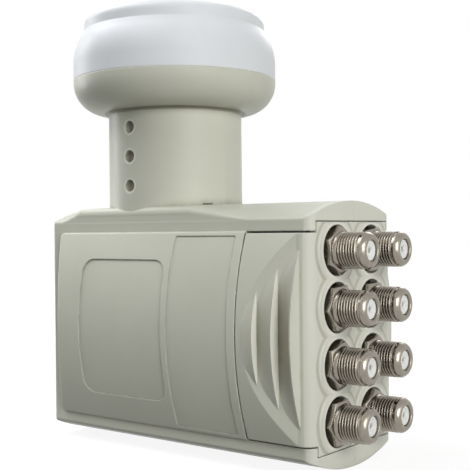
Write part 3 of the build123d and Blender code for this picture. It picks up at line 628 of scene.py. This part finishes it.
def moulded_plastic(name, light, deep, dust_and_shade, worn_and_lit, gloss, relief, dust_and_shade_amount, painted_shade=None):
    """Moulded plastic: uneven tone, fine grain, softened and rubbed edges with a painted edge
    highlight, dust and painted shade in corners, and, given a shade colour, painted light and shade on
    ridges, plate, holes, dimples and the neck's joint.
    """
    material, tree, shader = new_material(name)
    grain = place_group(tree, GRAIN)
    edges = place_group(tree, EDGES, Radius=PLASTIC_EDGE)
    dust = place_group(tree, DUST_AND_SHADE, Amount=dust_and_shade_amount)
    colour = tinted(tree, grain["Tone"], light, deep)
    # Convex edges lighter: rubbed wear and a painted edge highlight
    colour = tinted(tree, combine(tree, "MULTIPLY", edges["Worn and lit"], WORN_AND_LIT_SHARE), colour, worn_and_lit)
    # Corners darker: settled dust and painted shade
    colour = tinted(tree, dust["Mask"], colour, dust_and_shade)
    # Painted shade on ridge ramps, boss feet and the neck's joint; painted light on ridge faces, the
    # front plate, hole lips and dimple rims
    if painted_shade:
        ridges = place_group(tree, RIDGES)
        rims = place_group(tree, RIMS)
        painted_light_and_shade = (
            (ridges["Ramp"], RAMP_SHARE, painted_shade),
            (ridges["Face"], FACE_SHARE, worn_and_lit),
            (rims["Front"], FRONT_SHARE, worn_and_lit),
            (rims["Lip"], LIP_SHARE, worn_and_lit),
            (rims["Foot"], FOOT_SHARE, painted_shade),
            (rims["Rim"], RIM_SHARE, worn_and_lit),
            (rims["Joint"], JOINT_SHARE, dust_and_shade),
        )
        for mask, share, tone in painted_light_and_shade:
            colour = tinted(tree, combine(tree, "MULTIPLY", mask, share), colour, tone)
    tree.links.new(colour, shader.inputs["Base Color"])
    rough = ranged(tree, grain["Tone"], 0.0, 1.0, gloss - GLOSS_SPREAD, gloss + GLOSS_SPREAD)
    rough = combine(tree, "ADD", rough, combine(tree, "MULTIPLY", dust["Mask"], DUST_DULLS))
    tree.links.new(rough, shader.inputs["Roughness"])
    shader.inputs["Specular IOR Level"].default_value = PLASTIC_SPECULAR
    bump(tree, shader, grain["Height"], GRAIN_DEPTH, relief, edges["Normal"])
    return material, shader


def plated_metal(name, bright, deep, stain, gloss):
    """Metal with fine turning lines, dull spots and stain in its grooves."""
    material, tree, shader = new_material(name)
    scuffs = place_group(tree, SCUFFS)
    edges = place_group(tree, EDGES, Radius=METAL_EDGE)
    dust = place_group(tree, DUST_AND_SHADE, Reach=STAIN_REACH, Amount=STAIN_AMOUNT)
    colour = tinted(tree, combine(tree, "MULTIPLY", scuffs["Spots"], SPOT_SHARE), bright, deep)
    colour = tinted(tree, dust["Mask"], colour, stain)
    tree.links.new(colour, shader.inputs["Base Color"])
    shader.inputs["Metallic"].default_value = 1.0
    rough = combine(tree, "ADD", combine(tree, "MULTIPLY", scuffs["Spots"], SPOT_DULLS), gloss)
    rough = combine(tree, "ADD", rough, combine(tree, "MULTIPLY", scuffs["Lines"], LINE_DULLS))
    tree.links.new(rough, shader.inputs["Roughness"])
    bump(tree, shader, scuffs["Lines"], LINE_DEPTH, LINE_RELIEF, edges["Normal"])
    return material


def board_material():
    """Green board with copper tracks under the resist and tinned pads."""
    material, tree, shader = new_material("circuit_board")
    place = object_place(tree)
    tracks = add_node(
        tree, "ShaderNodeTexBrick",
        {"Vector": place, "Scale": 120.0, "Mortar Size": 0.03, "Mortar Smooth": 0.1},
    ).outputs["Fac"]
    grain = place_group(tree, GRAIN)
    colour = tinted(tree, grain["Tone"], srgb(26, 92, 58), srgb(20, 74, 48))
    colour = tinted(tree, combine(tree, "MULTIPLY", tracks, 0.6), colour, srgb(58, 134, 86))
    pads = ranged(tree, noise(tree, place, scale=420.0, detail=1.0), 0.66, 0.69)
    colour = tinted(tree, pads, colour, srgb(190, 190, 186))
    tree.links.new(colour, shader.inputs["Base Color"])
    tree.links.new(pads, shader.inputs["Metallic"])
    shader.inputs["Roughness"].default_value = 0.35
    bump(tree, shader, combine(tree, "ADD", tracks, pads), depth=0.03, strength=0.4)
    return material


def rubber_material():
    """Black rubber with a fine grain and pale dust."""
    material, tree, shader = new_material("black_rubber")
    grain = place_group(tree, GRAIN)
    dust = place_group(tree, DUST_AND_SHADE, Amount=0.4)
    colour = tinted(tree, grain["Tone"], srgb(38, 38, 38), srgb(30, 30, 31))
    colour = tinted(tree, dust["Mask"], colour, srgb(84, 80, 72))
    tree.links.new(colour, shader.inputs["Base Color"])
    shader.inputs["Roughness"].default_value = 0.75
    bump(tree, shader, grain["Height"], depth=0.03, strength=0.3)
    return material


def make_finishes():
    """One material for each slot of the part."""
    # The grey plastic carries the painted shade and light of the ridges, front plate, holes, dimples
    # and neck joint
    grey, _ = moulded_plastic(
        "grey_plastic", light=srgb(207, 208, 193), deep=srgb(200, 201, 186),
        dust_and_shade=srgb(112, 106, 88), worn_and_lit=srgb(234, 233, 222),
        gloss=0.36, relief=0.3, dust_and_shade_amount=0.8, painted_shade=srgb(136, 129, 108),
    )
    white, shader = moulded_plastic(
        "white_plastic", light=srgb(230, 233, 235), deep=srgb(224, 227, 229),
        dust_and_shade=srgb(180, 178, 170), worn_and_lit=srgb(242, 243, 243),
        gloss=0.4, relief=0.12, dust_and_shade_amount=0.25,
    )
    shader.inputs["Subsurface Weight"].default_value = 0.12
    shader.inputs["Subsurface Radius"].default_value = (0.002, 0.002, 0.002)
    insulator, _ = moulded_plastic(
        "insulator_plastic", light=srgb(240, 240, 237), deep=srgb(232, 232, 228),
        dust_and_shade=srgb(150, 146, 136), worn_and_lit=srgb(250, 250, 248),
        gloss=0.3, relief=0.1, dust_and_shade_amount=0.5,
    )
    nickel = plated_metal(
        "nickel_plating", bright=srgb(146, 140, 130), deep=srgb(124, 115, 102),
        stain=srgb(76, 64, 50), gloss=0.19,
    )
    return {
        "grey_plastic": grey,
        "cap_plastic": white,
        "insulator": insulator,
        "nickel": nickel,
        "probe_metal": plated_metal(
            "drawn_brass", bright=srgb(214, 180, 110), deep=srgb(188, 150, 84),
            stain=srgb(110, 84, 48), gloss=0.25,
        ),
        "casting": plated_metal(
            "cast_aluminium", bright=srgb(186, 187, 189), deep=srgb(160, 161, 164),
            stain=srgb(104, 103, 101), gloss=0.5,
        ),
        "lid_sheet": plated_metal(
            "lid_aluminium", bright=srgb(205, 206, 208), deep=srgb(184, 185, 188),
            stain=srgb(128, 127, 125), gloss=0.32,
        ),
        "screw_steel": plated_metal(
            "zinc_steel", bright=srgb(190, 192, 196), deep=srgb(164, 166, 172),
            stain=srgb(98, 96, 92), gloss=0.3,
        ),
        "board": board_material(),
        "rubber": rubber_material(),
    }


# Stage


def add_camera():
    """Camera at the place, turn and lens that were fitted to the photograph."""
    yaw, pitch, roll = radians(CAMERA_YAW), radians(CAMERA_PITCH), radians(CAMERA_ROLL)
    ahead = Vector((-sin(yaw) * cos(pitch), cos(yaw) * cos(pitch), sin(pitch)))
    level = Vector((cos(yaw), sin(yaw), 0))
    down = ahead.cross(level)
    right = cos(roll) * level + sin(roll) * down
    up = sin(roll) * level - cos(roll) * down
    turn = Matrix((right, up, -ahead)).transposed().to_euler()
    place = [value * MM for value in CAMERA_PLACE]
    bpy.ops.object.camera_add(location=place, rotation=turn)
    camera = bpy.context.view_layer.objects.active
    camera.name = "photo_camera"
    camera.data.sensor_width = CAMERA_SENSOR
    camera.data.lens = CAMERA_LENS
    camera.data.clip_start = CAMERA_NEAR
    bpy.context.scene.camera = camera


def seen_directly(tree):
    """1 for what the camera or a reflection looks at, 0 for light that bounces."""
    path = tree.nodes.new("ShaderNodeLightPath").outputs
    seen = combine(tree, "MAXIMUM", path["Is Camera Ray"], path["Is Glossy Ray"])
    return combine(tree, "MAXIMUM", seen, path["Is Transmission Ray"])


def add_floor():
    """Pale floor that looks white and keeps the object's shadow."""
    bpy.ops.object.select_all(action="DESELECT")
    bpy.ops.mesh.primitive_plane_add(size=FLOOR_SPAN, location=(0, 0, FLOOR_Z * MM))
    floor = bpy.context.view_layer.objects.active
    floor.name = "floor"
    material = bpy.data.materials.new("floor")
    material.use_nodes = True
    tree = material.node_tree
    tree.nodes.clear()
    matte = add_node(tree, "ShaderNodeBsdfDiffuse", {"Color": FLOOR_TONE})
    place = object_place(tree)
    away = add_node(tree, "ShaderNodeVectorMath", {0: place}, operation="LENGTH").outputs["Value"]
    white = ranged(tree, away, SHADOW_REACH * MM, 3 * SHADOW_REACH * MM, to_low=SHADOW_WHITE)
    shown = combine(tree, "MULTIPLY", seen_directly(tree), white)
    glow = add_node(tree, "ShaderNodeEmission", {"Color": (1.0, 1.0, 1.0, 1.0), "Strength": shown})
    mixed = tree.nodes.new("ShaderNodeAddShader")
    tree.links.new(matte.outputs["BSDF"], mixed.inputs[0])
    tree.links.new(glow.outputs["Emission"], mixed.inputs[1])
    output = tree.nodes.new("ShaderNodeOutputMaterial")
    tree.links.new(mixed.outputs["Shader"], output.inputs["Surface"])
    floor.data.materials.append(material)


def add_world():
    """White surroundings for the eye, a dimmer even light on the object."""
    world = bpy.data.worlds.new("studio")
    bpy.context.scene.world = world
    world.use_nodes = True
    tree = world.node_tree
    background = tree.nodes["Background"]
    background.inputs["Color"].default_value = (1.0, 1.0, 1.0, 1.0)
    strength = ranged(tree, seen_directly(tree), 0.0, 1.0, to_low=WORLD_FILL)
    tree.links.new(strength, background.inputs["Strength"])


def add_light(name, azimuth, elevation, width, height, power, colour):
    """Soft panel aimed at the body."""
    target = Vector([value * MM for value in LAMP_TARGET])
    across, rise = radians(azimuth), radians(elevation)
    away = Vector((sin(across) * cos(rise), -cos(across) * cos(rise), sin(rise)))
    aim = (-away).to_track_quat("-Z", "Y").to_euler()
    bpy.ops.object.light_add(type="AREA", location=target + LAMP_DISTANCE * away, rotation=aim)
    light = bpy.context.view_layer.objects.active
    light.name = name
    light.data.shape = "RECTANGLE"
    light.data.size = width
    light.data.size_y = height
    light.data.energy = power
    light.data.color = colour


# Assembly

finishes = make_finishes()
slots = {entry["node"]: entry["material_slot"] for entry in frame["record"]["subparts"]}
for name, part in frame["nodes"].items():
    part.data.materials.clear()
    part.data.materials.append(finishes[slots[name]])

body_blank = output_body()
smooth(body_blank, SMOOTH_ANGLE)
insulator_blank = output_insulator()
smooth(insulator_blank, SMOOTH_ANGLE)
places = [(y, z) for z in OUTPUT_ROWS for y in OUTPUT_COLUMNS]
for number, ((y, z), turn) in enumerate(zip(places, HEX_TURNS), start=1):
    body = copied(body_blank, f"output_{number}", turn, y, z)
    dress(body, finishes["nickel"], "housing", "nickel", f"f_connector_{number}")
    plug = copied(insulator_blank, f"output_insulator_{number}", turn, y, z)
    dress(plug, finishes["insulator"], "housing", "insulator", f"connector_insulator_{number}")
bpy.data.objects.remove(body_blank)
bpy.data.objects.remove(insulator_blank)

add_camera()
add_floor()
add_world()
for lamp in LAMPS:
    add_light(*lamp)
bpy.context.scene.view_settings.view_transform = "Standard"
